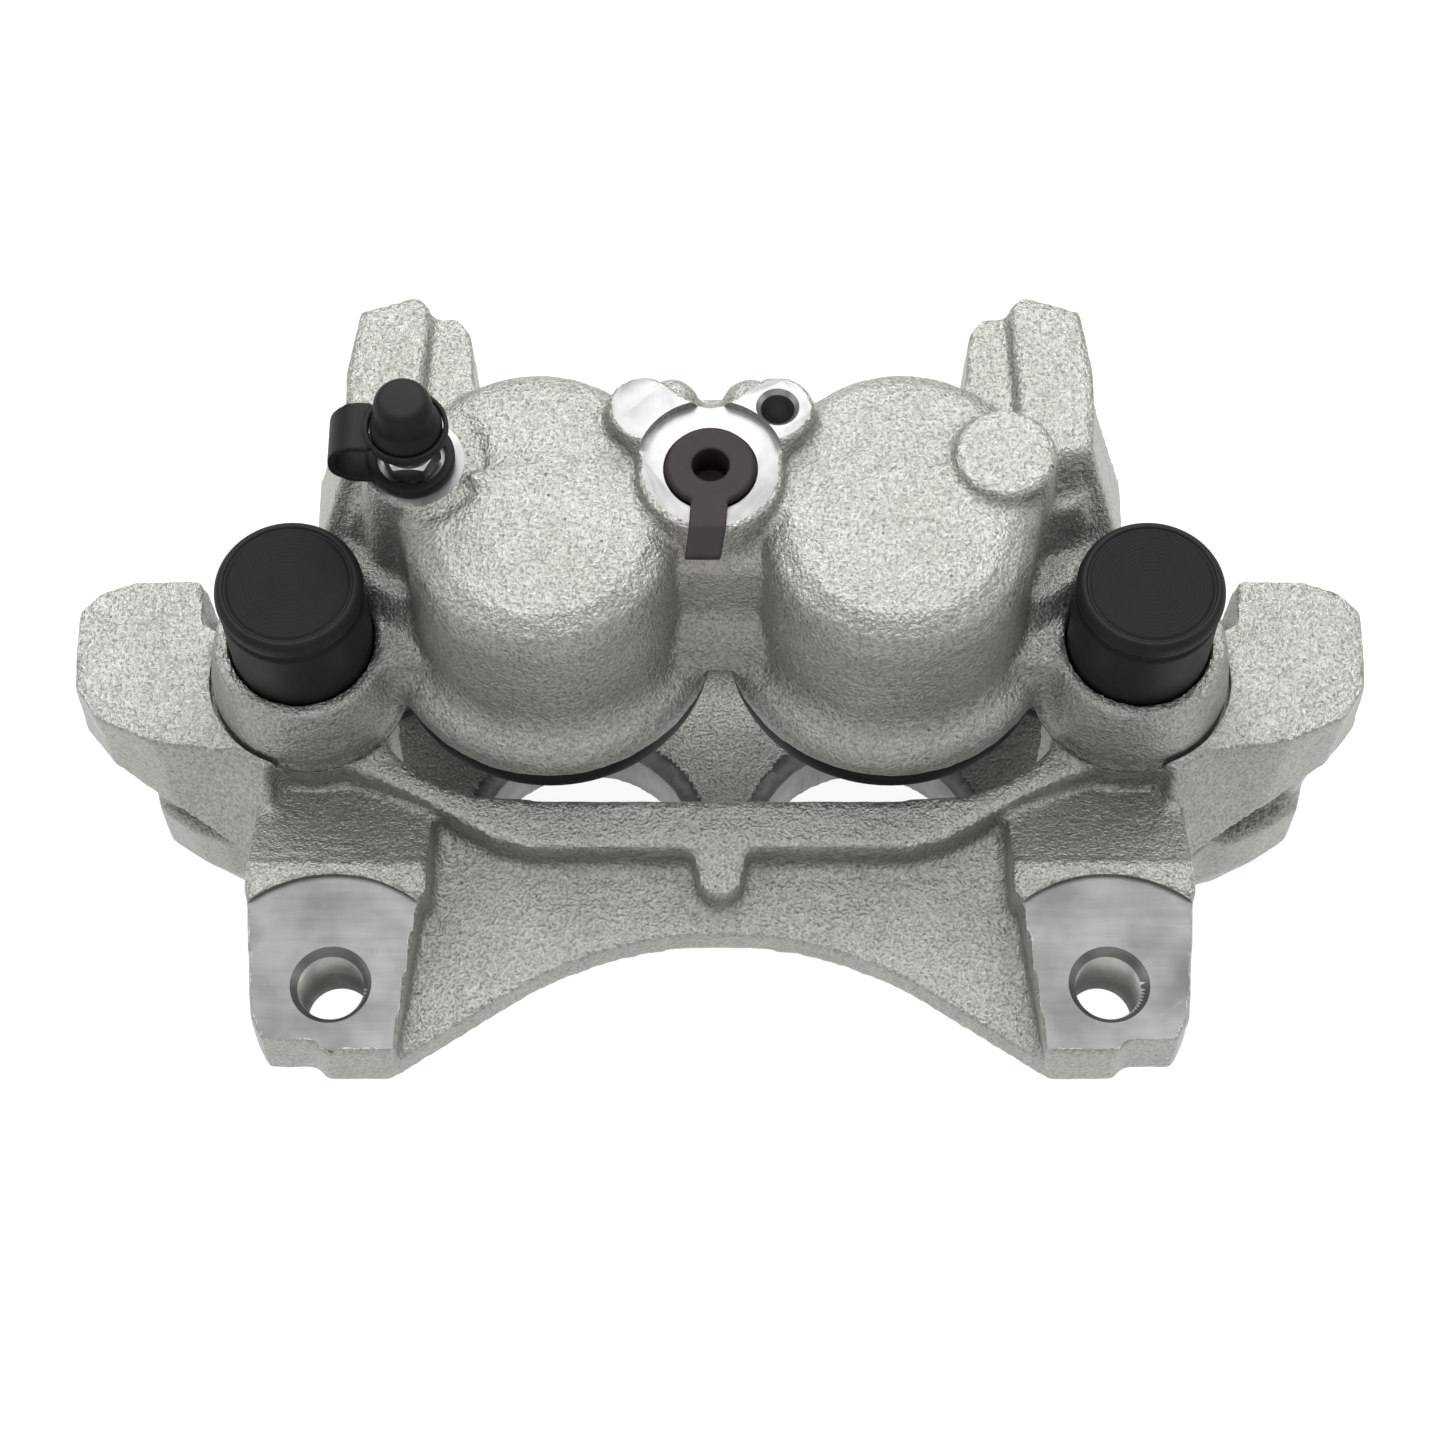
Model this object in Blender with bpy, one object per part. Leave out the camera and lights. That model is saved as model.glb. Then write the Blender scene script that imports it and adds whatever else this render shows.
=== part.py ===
"""Floating disc-brake caliper with twin pistons, on its carrier bracket.

Frame: +Z points inboard (the side with the hydraulic port), +Y points away from the wheel's
axle, and X runs along the rotor's edge. The origin is midway between the two mounting lugs,
on their machined faces. The pistons push towards -Z. Lengths below are in millimetres.
"""

import math

import bmesh
import bpy
from mathutils import Matrix, Vector

MM = 0.001
SIDES = (("left", -1.0), ("right", 1.0))
CLEARANCE = 0.35              # gap between pieces that touch on the real object

# Driving dimensions
LUG_SPACING = 143.0           # between the two mounting holes
LUG_X = LUG_SPACING / 2
THREAD_BORE_R = 6.0           # M14 x 2 core
THREAD_CHAMFER_R = 7.5
RAW_Z = 1.4                   # unmachined casting round the lug faces, which are at Z = 0
BACK_Z = -18.0                # outboard face of the bracket's inboard plate
BAND_Z = -2.0                 # top of the beam's thick band and of the pin bosses
WEB_Z = -10.5                 # top of the beam's thin web
WHEEL_Y = -57.7               # wheel axis, in X = 0
ROTOR_R = 160.0
ROTOR_CLEAR_R = ROTOR_R + 2.5  # inside of the bracket's arms
BRIDGE_R = ROTOR_R + 3.6      # inside of the housing's bridge
ROTOR_TOP_Z = -20.5
ROTOR_BOTTOM_Z = -55.0
PIN_X = 78.6
PIN_Y = 63.0
EAR_R = 19.0
PISTON_X = 32.2
PISTON_Y = 71.0
PISTON_R = 21.35
BORE_R = 21.7
BOOT_SEAT_R = 27.6
RIM_R = 31.8                  # flared rim of the cylinders
SEAL_GROOVE_R = 24.6
SEAL_LOW_Z = 9.9
SEAL_HIGH_Z = 13.1
MOUTH_Z = 5.0                 # outboard end of the cylinders
FINGER_TOP_Z = -70.0
FINGER_BOTTOM_Z = -87.0
PORT_X = -1.7                 # the port and its pads sit a little left of the middle
PORT_Y = 80.0
PORT_Z = 50.0
PORT_BORE_R = 4.6
PORT_FACE_R = 13.5            # machined into the foot of the two pads
PAD_OFFSET_X = 12.2           # from the port to the small pad on each side of it
PAD_Y = 92.0
PAD_Z = 52.0
BLEEDER_X = -56.2
BLEEDER_Y = 84.0
BLEEDER_Z = 46.0
TWIN_X = 51.9                 # the uncut boss on the right
TWIN_Y = 83.8
LEG_SHIFT_X = 1.8             # the outboard legs sit a little right of the middle
BUSHING_HOLE_R = 13.75

# Mesh fineness: sides of a full circle
TINY = 10
COARSE = 20
MEDIUM = 28
FINE = 36
ROTOR_SIDES = 120
FLAT_DEG = 0.2                # faces this close to one plane are joined
MERGE = 0.002                 # points closer than this become one

CASTING = ("zinc_coated_casting", (0.55, 0.56, 0.54, 1.0), 0.55, 0.75)
STEEL = ("plated_steel", (0.62, 0.62, 0.60, 1.0), 0.35, 1.0)
PISTON_STEEL = ("chromed_piston", (0.70, 0.70, 0.72, 1.0), 0.18, 1.0)
RUBBER = ("black_rubber", (0.025, 0.023, 0.024, 1.0), 0.55, 0.0)
PLASTIC = ("black_plastic", (0.035, 0.030, 0.032, 1.0), 0.45, 0.0)


# ---------------------------------------------------------------- shape helpers

def clear_scene():
    for item in list(bpy.data.objects):
        bpy.data.objects.remove(item)


def material(spec):
    name, colour, roughness, metallic = spec
    found = bpy.data.materials.get(name)
    if found:
        return found
    made = bpy.data.materials.new(name)
    made.use_nodes = True
    shader = made.node_tree.nodes["Principled BSDF"]
    shader.inputs["Base Color"].default_value = colour
    shader.inputs["Roughness"].default_value = roughness
    shader.inputs["Metallic"].default_value = metallic
    made.diffuse_color = colour
    return made


def loft(name, rings, closed=False):
    """Body through rings of 3-D points (mm), capped at both ends, or closed into a ring."""
    shape = bmesh.new()
    rows = [[shape.verts.new(Vector(point) * MM) for point in ring] for ring in rings]
    pairs = list(zip(rows, rows[1:]))
    if closed:
        pairs.append((rows[-1], rows[0]))
    for low, high in pairs:
        for index in range(len(low)):
            after = (index + 1) % len(low)
            shape.faces.new((low[index], low[after], high[after], high[index]))
    if not closed:
        shape.faces.new(rows[0])
        shape.faces.new(rows[-1])
    shape.normal_update()
    bmesh.ops.triangulate(shape, faces=shape.faces)
    bmesh.ops.recalc_face_normals(shape, faces=shape.faces)
    mesh = bpy.data.meshes.new(name)
    shape.to_mesh(mesh)
    shape.free()
    body = bpy.data.objects.new(name, mesh)
    bpy.context.collection.objects.link(body)
    return body


def prism(name, outline, low_z, high_z, high_outline=None):
    """Outline of (x, y) points between two heights, tapered if high_outline is given."""
    top = high_outline or outline
    return loft(name, [[(x, y, low_z) for x, y in outline], [(x, y, high_z) for x, y in top]])


def side_prism(name, outline, low_x, high_x):
    """Outline of (y, z) points swept along X."""
    return loft(name, [[(x, y, z) for y, z in outline] for x in (low_x, high_x)])


def hull(circles, sides=MEDIUM):
    """Outline around circles (x, y, radius), with round corners."""
    points = []
    for step in range(sides):
        angle = 2 * math.pi * step / sides
        along = (math.cos(angle), math.sin(angle))
        x, y, radius = max(circles, key=lambda c: c[0] * along[0] + c[1] * along[1] + c[2])
        points.append((x + radius * along[0], y + radius * along[1]))
    return points


def turned(name, profile, centre, sides=MEDIUM):
    """Solid of revolution about +Z through (radius, z) points, with flat ends."""
    x, y = centre
    rings = [[(x + radius * math.cos(2 * math.pi * step / sides),
               y + radius * math.sin(2 * math.pi * step / sides), z) for step in range(sides)]
             for radius, z in profile]
    return loft(name, rings)


def ring_body(name, profile, centre, sides=MEDIUM):
    """Ring about +Z whose cross-section is the closed outline of (radius, z) points."""
    x, y = centre
    rings = [[(x + radius * math.cos(2 * math.pi * step / sides),
               y + radius * math.sin(2 * math.pi * step / sides), z) for radius, z in profile]
             for step in range(sides)]
    return loft(name, rings, closed=True)


def cylinder(name, centre, radius, low_z, high_z, sides=MEDIUM):
    return turned(name, [(radius, low_z), (radius, high_z)], centre, sides)


def arc(centre, radius, start_deg, end_deg, steps):
    """Points (x, y) on an arc, both ends included."""
    points = []
    for step in range(steps + 1):
        angle = math.radians(start_deg + (end_deg - start_deg) * step / steps)
        points.append((centre[0] + radius * math.cos(angle), centre[1] + radius * math.sin(angle)))
    return points


def mirrored(points, sign, shift_x=0.0):
    return [(sign * x + shift_x, y) for x, y in points]


def combine(base, others, operation):
    """Apply Booleans of base with each of the others, which are used up."""
    for other in others:
        step = base.modifiers.new(operation.lower(), "BOOLEAN")
        step.operation = operation
        step.solver = "MANIFOLD"      # the exact solver leaves open edges on these shared planes
        step.object = other
    bpy.context.view_layer.update()
    graph = bpy.context.evaluated_depsgraph_get()
    mesh = bpy.data.meshes.new_from_object(base.evaluated_get(graph))
    base.modifiers.clear()
    base.data = mesh
    for other in others:
        bpy.data.objects.remove(other)
    return base


def unite(base, others):
    return combine(base, others, "UNION")


def cut(base, others):
    return combine(base, others, "DIFFERENCE")


def moved(body, x, y, z):
    body.data.transform(Matrix.Translation(Vector((x, y, z)) * MM))
    return body


def finish(body, spec, origin=None, smooth_deg=35.0):
    """Clean the mesh, give it its material and put its origin on the axis it moves about."""
    shape = bmesh.new()
    shape.from_mesh(body.data)
    bmesh.ops.remove_doubles(shape, verts=shape.verts, dist=MERGE * MM)
    bmesh.ops.dissolve_degenerate(shape, edges=shape.edges, dist=MERGE * MM)
    bmesh.ops.dissolve_limit(shape, angle_limit=math.radians(FLAT_DEG), verts=shape.verts, edges=shape.edges)
    bmesh.ops.triangulate(shape, faces=shape.faces, ngon_method="EAR_CLIP")
    shape.to_mesh(body.data)
    shape.free()
    body.data.materials.clear()
    body.data.materials.append(material(spec))
    body.data.shade_smooth()
    body.data.set_sharp_from_angle(angle=math.radians(smooth_deg))
    if origin:
        place = Vector(origin) * MM
        body.data.transform(Matrix.Translation(-place))
        body.location = place
    return body


# ---------------------------------------------------------------- bracket

def beam_outline(sign):
    """Half of the beam's thick band, from the centre line out to the pin boss."""
    inner_edge = [(0, 38.5), (33, 38.5), (47, 39.6), (54, 42), (59.5, 45.5), (64, 50.5), (66, 56)]
    lower_edge = [(80, 56), (74, 46), (66, 43), (57.5, 39), (50, 34.5), (43, 30.4), (36, 28.4), (0, 28.4)]
    return mirrored(inner_edge + lower_edge, sign)


def web_outline():
    """Whole thin web: straight far edge, and the hub arch between the lugs."""
    arch_r = 72.0
    half_sweep = 36.0
    arch = arc((0, WHEEL_Y), arch_r, 90 + half_sweep, 90 - half_sweep, 18)
    right = [(61, -12), (66, -12), (66, 44), (57, 40)]
    left = [(-57, 40), (-66, 44), (-66, -12), (-61, -12)]
    return left + arch + right


def lug(side, sign):
    """Mounting lug: a block whose lower edge is stepped and whose inner wall leans."""
    low = [(60.5, -13.2), (73, -13.2), (75, -10.8), (84, -10.8), (86.4, -6), (88.3, 14), (89, 26),
           (54, 26), (57.0, 14)]
    high = [(59.3, -13.2), (72.5, -13.2), (74.5, -10.8), (83.5, -10.8), (86.0, -6), (87.9, 14), (88.5, 24),
            (54.6, 24), (56.2, 14)]
    back = [(62, -11), (72, -11), (74.5, -8.6), (83, -8.6), (84.6, -5), (88, 14), (88, 26), (54, 26),
            (57, 14)]
    foot_z = BACK_Z + 3
    block = prism("lug_" + side, mirrored(low, sign), foot_z, RAW_Z, mirrored(high, sign))
    foot = prism("lug_foot_" + side, mirrored(back, sign), BACK_Z, foot_z, mirrored(low, sign))
    return [block, foot]


def shoulder(side, sign):
    """Ramp that falls from the lug's face to the foot of the pin boss."""
    low_z = -9.5
    ramp = [(18, BACK_Z), (18, RAW_Z), (23.5, 1.2), (42, -8.5), (42, BACK_Z)]
    foot = [(40, BACK_Z), (40, -7.4), (44, low_z), (62, low_z), (62, BACK_Z)]
    outer = 88.6
    return [side_prism("shoulder_" + side, ramp, *sorted((54.6 * sign, outer * sign))),
            side_prism("shoulder_foot_" + side, foot, *sorted((66 * sign, outer * sign)))]


def inboard_arm(side, sign):
    """Wing of the inboard plate: it reaches out past the pin boss and leans back at its edge."""
    low = [(85, 27), (94, 36), (106, 44.5), (119, 54), (125.5, 62), (125.5, 77), (122, 82.4), (114, 85.2),
           (100, 85.2), (99.6, 75), (94, 70), (80, 72), (80, 50)]
    high = [(86, 43), (92, 47), (108, 49), (119.5, 54), (124.0, 61), (124.6, 77), (121, 81.4), (113.5, 84.2),
            (101, 84.4), (100.6, 75.0), (94, 71), (80, 72), (80, 50)]
    return [prism("wing_" + side, mirrored(low, sign), ROTOR_TOP_Z, 1.0, mirrored(high, sign))]


def pin_boss(side, sign):
    """Boss that the guide bolt screws into."""
    return [cylinder("pin_boss_" + side, (sign * PIN_X, PIN_Y), EAR_R, BACK_Z, BAND_Z, FINE)]


def rotor_bridge(side, sign):
    """Part of the arm that crosses over the rotor's edge."""
    inboard = [(90, 62), (119, 56.5), (124.8, 63), (124.8, 77), (121, 82.5), (113, 85.2), (98, 85.2),
               (86, 85.2)]
    outboard = [(90, 66), (116, 64), (120, 69), (119, 78), (115, 84), (108, 86.6), (97, 87.6), (84, 87.6)]
    inboard_z = ROTOR_TOP_Z + 3
    outboard_z = ROTOR_BOTTOM_Z - 8
    return [prism("crossing_" + side, mirrored(outboard, sign, LEG_SHIFT_X), outboard_z, inboard_z,
                  mirrored(inboard, sign))]


def outboard_leg(side, sign):
    """Leg outboard of the rotor, with the flat that the outer pad would rest on."""
    high = [(74, 55), (104, 53), (111, 56), (118.5, 61), (120, 68), (118, 78), (113, 84), (104, 87),
            (84, 86), (74, 80)]
    low = [(75, 57), (97, 55), (104, 57), (110, 61), (112, 68), (110, 76), (106, 82), (98, 84), (84, 83),
           (75, 78)]
    step_z = ROTOR_BOTTOM_Z - 16
    low, high = mirrored(low, sign, LEG_SHIFT_X), mirrored(high, sign, LEG_SHIFT_X)
    upper = prism("leg_" + side, high, step_z, ROTOR_BOTTOM_Z)
    lower = prism("leg_foot_" + side, low, step_z - 13, step_z, high)
    hook_outline = hull([(79, 54, 4), (95, 54, 4), (95, 60, 4), (79, 60, 4)], COARSE)
    hook = prism("leg_hook_" + side, mirrored(hook_outline, sign, LEG_SHIFT_X), step_z + 1, ROTOR_BOTTOM_Z)
    return [upper, lower, hook]


def bracket_cuts():
    """Space for the rotor, threaded holes, machined faces and the flats the pads would slide on."""
    removed = [cylinder("rotor_space", (0, WHEEL_Y), ROTOR_CLEAR_R, ROTOR_BOTTOM_Z, ROTOR_TOP_Z, ROTOR_SIDES)]
    through = (BACK_Z - 5, 5)
    pad_flat = [(40, 54.5), (66, 54.5), (66, 90), (40, 90)]
    for side, sign in SIDES:
        hole = (sign * LUG_X, 0)
        pin = (sign * PIN_X, PIN_Y)
        chamfer = [(THREAD_BORE_R - 1, -2.5), (THREAD_CHAMFER_R, 0), (THREAD_CHAMFER_R, 5)]
        removed.append(cylinder("thread_" + side, hole, THREAD_BORE_R, *through))
        removed.append(turned("chamfer_" + side, chamfer, hole))
        removed.append(cylinder("spot_face_" + side, (sign * 72, -3.8), 25.5, 0, 10, 2 * FINE))
        removed.append(cylinder("bolt_hole_" + side, pin, 5.5, *through, COARSE))
        removed.append(cylinder("ear_space_" + side, pin, EAR_R + 0.6, BAND_Z, 10, FINE))
        removed.append(prism("pad_flat_" + side, mirrored(pad_flat, sign), BACK_Z - 5, BAND_Z - 3))
    return removed


def bracket():
    plate = prism("bracket", web_outline(), BACK_Z, WEB_Z)
    tongue = hull([(0, 32, 5.6), (0, 23.6, 4.4)], COARSE)
    added = [prism("tongue", tongue, BACK_Z + 1, BAND_Z - 1.2)]
    for side, sign in SIDES:
        added.append(prism("band_" + side, beam_outline(sign), BACK_Z, BAND_Z))
        added += lug(side, sign) + shoulder(side, sign) + inboard_arm(side, sign)
        added += pin_boss(side, sign) + rotor_bridge(side, sign) + outboard_leg(side, sign)
    return finish(cut(unite(plate, added), bracket_cuts()), CASTING)


# ---------------------------------------------------------------- housing

def cylinder_casting(side, sign):
    """Outside of one cylinder: a flared rim at the mouth, and a domed closed end drawn out backwards."""
    profile = [(31.0, MOUTH_Z), (RIM_R, 6.2), (RIM_R, 10.0), (30.4, 12.4), (27.0, 14.2), (25.7, 17.5),
               (25.0, 40.0), (23.6, 44.2), (19.5, 46.8), (12.0, 47.6)]
    back = [(26.0, 9.0), (25.7, 30.0), (25.3, 41.0), (24.2, 44.6), (21.0, 46.6), (12.0, 47.2)]
    return [turned("cylinder_" + side, profile, (sign * PISTON_X, PISTON_Y), FINE),
            turned("cylinder_back_" + side, back, (sign * 33.6, 79.4), FINE)]


def bridge():
    """Bridge over the rotor, concentric with it."""
    inner_r = BRIDGE_R + 0.4
    thickness = 13.0
    half_width = 75.0
    steps = 18
    half_sweep = math.degrees(math.asin(half_width / inner_r))
    taper = 1.5
    inner = arc((0, WHEEL_Y), inner_r, 90 + half_sweep, 90 - half_sweep, steps)
    outer = arc((0, WHEEL_Y), inner_r + thickness, 90 - half_sweep + taper, 90 + half_sweep - taper, steps)
    return [prism("bridge", inner + outer, FINGER_BOTTOM_Z + 4, 12)]


def shoulders():
    """Casting behind the cylinders, which carries them over to the bridge."""
    profile = [(72, 9), (72, 30), (84, 44), (94, 44), (98.5, 42), (103, 36), (110, 22), (116, 10),
               (116, 2), (106, 2), (98, 9)]
    middle = side_prism("back", profile, -45, 45)
    parts = [middle]
    for side, sign in SIDES:
        low = [(40, 74), (60, 74), (77.0, 82), (77.8, 93), (76, 100), (60, 108), (40, 112)]
        high = [(40, 78), (55, 78), (67, 82), (70, 90), (69.5, 97), (58, 100), (40, 101)]
        parts.append(prism("flank_" + side, mirrored(low, sign), MOUTH_Z + 0.3, 34, mirrored(high, sign)))
        cheek_low = [(44, 60), (62, 58), (72, 66), (77.5, 80), (77.5, 92), (60, 100), (44, 100)]
        cheek_high = [(44, 66), (56, 66), (66, 72), (71, 82), (71, 92), (60, 98), (44, 98)]
        parts.append(prism("cheek_" + side, mirrored(cheek_low, sign), MOUTH_Z + 0.3, 22,
                           mirrored(cheek_high, sign)))
    return parts


def towers():
    """Two stiffening ribs on each side: the outer one is the taller, and its root slopes to the ear."""
    parts = []
    for side, sign in SIDES:
        outer_low = [(53, 92), (76.5, 92), (75.6, 104), (71, 120), (56, 122.5), (53, 118)]
        outer_high = [(55.5, 88), (69, 88), (69.6, 106), (67.8, 119.0), (57, 122.6), (54.6, 120)]
        parts.append(prism("outer_rib_" + side, mirrored(outer_low, sign), FINGER_BOTTOM_Z + 2, 43,
                           mirrored(outer_high, sign)))
        root_low = [(56, 73), (66, 74.5), (72, 78.5), (77.6, 81), (77.6, 100), (56, 100)]
        root_high = [(56, 86.5), (62, 86.8), (66, 87.2), (68.8, 88), (69.3, 100), (56, 100)]
        parts.append(prism("rib_root_" + side, mirrored(root_low, sign), 12, 42, mirrored(root_high, sign)))
        inner_low = [(43, 96), (57, 96), (57, 119), (46, 119.5), (43, 114)]
        inner_high = [(44.6, 92), (56, 92), (56, 118.8), (50, 119.6), (47.0, 116)]
        parts.append(prism("inner_rib_" + side, mirrored(inner_low, sign), FINGER_BOTTOM_Z + 2, 40,
                           mirrored(inner_high, sign)))
    return parts


def finger_plate():
    outline = [(-69, 47), (-52, 45), (-14, 45), (14, 45), (52, 45), (69, 47), (70.5, 84), (76.5, 98),
               (66, 116), (30, 118), (-30, 118), (-66, 116), (-76.5, 98), (-70.5, 84)]
    inner = [(x * 0.985, 47 if y < 50 else y - 1.0) for x, y in outline]
    low = prism("finger_edge", inner, FINGER_BOTTOM_Z, FINGER_BOTTOM_Z + 3, outline)
    return [prism("fingers", outline, FINGER_BOTTOM_Z + 3, FINGER_TOP_Z), low]


def port_cluster():
    """Port boss, the two pads beside it, the wall that joins the cylinders and what is behind it."""
    top = hull([(PORT_X, PORT_Y + 0.2, 13.3), (PORT_X, PORT_Y - 6.2, 6.2)])
    base = hull([(PORT_X, PORT_Y + 1, 15.5), (PORT_X, PORT_Y - 6.0, 9.0)])
    wall = [(58, 12), (61, 20), (64.6, 24), (64.6, 39), (72, 44), (84, 44), (84, 12)]
    fill = [(-13, 64), (13, 64), (16, 90), (-16, 90)]
    parts = [prism("port_boss", base, 30, PORT_Z, top), prism("fill", fill, MOUTH_Z + 1, 24),
             side_prism("saddle", wall, PORT_X - 10.5, PORT_X + 10.5)]
    for side, sign in SIDES:
        pad_x = PORT_X + sign * PAD_OFFSET_X
        foot = hull([(pad_x, PAD_Y, 7.8), (PORT_X, 82, 9)])
        face = hull([(pad_x, PAD_Y, 6.7), (PORT_X, 84, 5.5)])
        parts.append(prism("pad_" + side, foot, 38, PAD_Z, face))
        bump = [(6.5, 34), (5.0, 43.5), (3.0, 45.5)]
        parts.append(turned("bump_" + side, bump, (PORT_X + sign * 7.3, 98.5), COARSE))
    return parts


def bosses():
    """Bleeder boss on the left, and its uncut twin on the right."""
    bleeder = [(12.5, 12), (10.6, 30), (9.4, BLEEDER_Z)]
    twin = [(12.5, 12), (10.2, 30), (9.4, BLEEDER_Z), (9.2, BLEEDER_Z + 2.6), (8.3, BLEEDER_Z + 3.4)]
    return [turned("bleeder_boss", bleeder, (BLEEDER_X, BLEEDER_Y)),
            turned("twin_boss", twin, (TWIN_X, TWIN_Y))]


def ears():
    """Ears that hold the rubber bushings, with their webs to the cylinders."""
    parts = []
    for side, sign in SIDES:
        centre = (sign * PIN_X, PIN_Y)
        profile = [(EAR_R, BAND_Z + CLEARANCE), (EAR_R - 0.2, 4), (17.6, 12), (16.4, 16.5)]
        parts.append(turned("ear_" + side, profile, centre, FINE))
        low = [(sign * 73, 63, 10), (sign * 56, 66, 12)]
        high = [(sign * 73, 64, 7), (sign * 52, 70, 12)]
        parts.append(prism("ear_web_" + side, hull(low), MOUTH_Z + 0.3, 17, hull(high)))
    return parts


def side_cuts(side, sign):
    """Stepped bore with its seal groove, boot seat, bushing hole and the tool relief in the fingers."""
    centre = (sign * PISTON_X, PISTON_Y)
    below = MOUTH_Z - 5
    bore = [(BORE_R, below), (BORE_R, SEAL_LOW_Z), (SEAL_GROOVE_R, SEAL_LOW_Z),
            (SEAL_GROOVE_R, SEAL_HIGH_Z), (BORE_R, SEAL_HIGH_Z), (BORE_R, 36.5), (19.0, 39.0)]
    relief = (sign * 29.8 + 1.0, 60.0)
    relief_r = 23.0
    relief_chamfer = [(relief_r - 1, FINGER_TOP_Z - 4), (relief_r + 4, FINGER_TOP_Z + 1)]
    return [turned("bore_" + side, bore, centre, FINE),
            cylinder("boot_seat_" + side, centre, BOOT_SEAT_R, below, 8.2, FINE),
            cylinder("boot_space_" + side, centre, RIM_R + 0.5, -40, MOUTH_Z, FINE),
            cylinder("bushing_hole_" + side, (sign * PIN_X, PIN_Y), BUSHING_HOLE_R, -10, 30),
            cylinder("tool_relief_" + side, relief, relief_r, FINGER_BOTTOM_Z - 5, FINGER_TOP_Z + 5, FINE),
            turned("relief_chamfer_" + side, relief_chamfer, relief, FINE)]


def housing_cuts():
    window = [(-20, 92), (20, 92), (22, 130), (-22, 130)]
    port = (PORT_X, PORT_Y)
    port_seat = [(4.0, PORT_Z - 3.4), (8.6, PORT_Z - 1.4), (8.6, PORT_Z + 5)]
    drilling = hull([(76.5, 34, 2.0)], TINY)
    bleeder = (BLEEDER_X, BLEEDER_Y)
    removed = [cylinder("rotor_space", (0, WHEEL_Y), BRIDGE_R, FINGER_TOP_Z, 1.5, ROTOR_SIDES),
               prism("window", window, -60, -16),
               cylinder("port_bore", port, PORT_BORE_R, 31, PORT_Z + 5, COARSE),
               turned("port_seat", port_seat, port),
               cylinder("port_face", port, PORT_FACE_R, PORT_Z, PORT_Z + 9, 2 * FINE),
               cylinder("pad_hole", (PORT_X + PAD_OFFSET_X, PAD_Y), 3.2, 40, 60, COARSE),
               side_prism("cross_drilling", drilling, -PISTON_X, PISTON_X),
               cylinder("bleeder_bore", bleeder, 4.6, BLEEDER_Z - 11.5, BLEEDER_Z + 10, COARSE),
               cylinder("bleeder_face", bleeder, 14, BLEEDER_Z, BLEEDER_Z + 12)]
    for side, sign in SIDES:
        removed += side_cuts(side, sign)
    return removed


def housing():
    cylinders = [piece for side, sign in SIDES for piece in cylinder_casting(side, sign)]
    added = cylinders[1:] + shoulders() + bridge() + towers() + finger_plate()
    added += port_cluster() + bosses() + ears()
    body = cut(unite(cylinders[0], added), housing_cuts())
    body.name = "housing"
    return finish(body, CASTING)


# ---------------------------------------------------------------- small pieces

def pistons():
    """Hollow steel cups, open towards the pad, with a groove near the rim for the dust boot."""
    top_z = 35.2
    rim_z = MOUTH_Z - 10
    groove_r = PISTON_R - 1.6
    outside = [(PISTON_R - 0.6, rim_z), (PISTON_R - 0.2, rim_z + 1.4), (groove_r, rim_z + 1.8),
               (groove_r, rim_z + 3.4), (PISTON_R, rim_z + 3.4), (PISTON_R, top_z - 0.7),
               (PISTON_R - 1.2, top_z)]
    inside = [(15.8, rim_z - 4), (15.8, rim_z), (15.2, top_z - 9), (13.0, top_z - 6)]
    for side, sign in SIDES:
        centre = (sign * PISTON_X, PISTON_Y)
        body = turned("piston_" + side, outside, centre, FINE)
        cut(body, [turned("hollow", inside, centre, FINE)])
        finish(body, PISTON_STEEL, (*centre, MOUTH_Z))


def piston_rubbers():
    """Square-cut fluid seal, bellows boot and the ring that holds the boot in its seat."""
    inner = PISTON_R + 0.3
    low_z, high_z = SEAL_LOW_Z + 0.4, SEAL_HIGH_Z - 0.4
    outer = SEAL_GROOVE_R - 0.3
    seal = [(inner, low_z), (outer, low_z), (outer, high_z), (inner, high_z)]
    boot = [(27.2, 4.6), (30.6, 4.6), (30.8, -0.4), (28.4, -1.4), (25.2, 2.2), (23.2, -3.0), (20.2, -3.0),
            (20.2, -1.9), (22.0, -1.9), (23.8, 3.6), (26.0, 3.6), (27.2, 1.2)]
    ring = [(25.2, 4.8), (27.2, 4.95), (27.2, 7.8), (26.0, 7.8), (26.0, 5.9), (25.2, 5.9)]
    for side, sign in SIDES:
        centre = (sign * PISTON_X, PISTON_Y)
        for name, profile, spec in (("piston_seal_", seal, RUBBER), ("dust_boot_", boot, RUBBER),
                                    ("boot_ring_", ring, STEEL)):
            finish(ring_body(name + side, profile, centre, FINE), spec, (*centre, MOUTH_Z))


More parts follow.
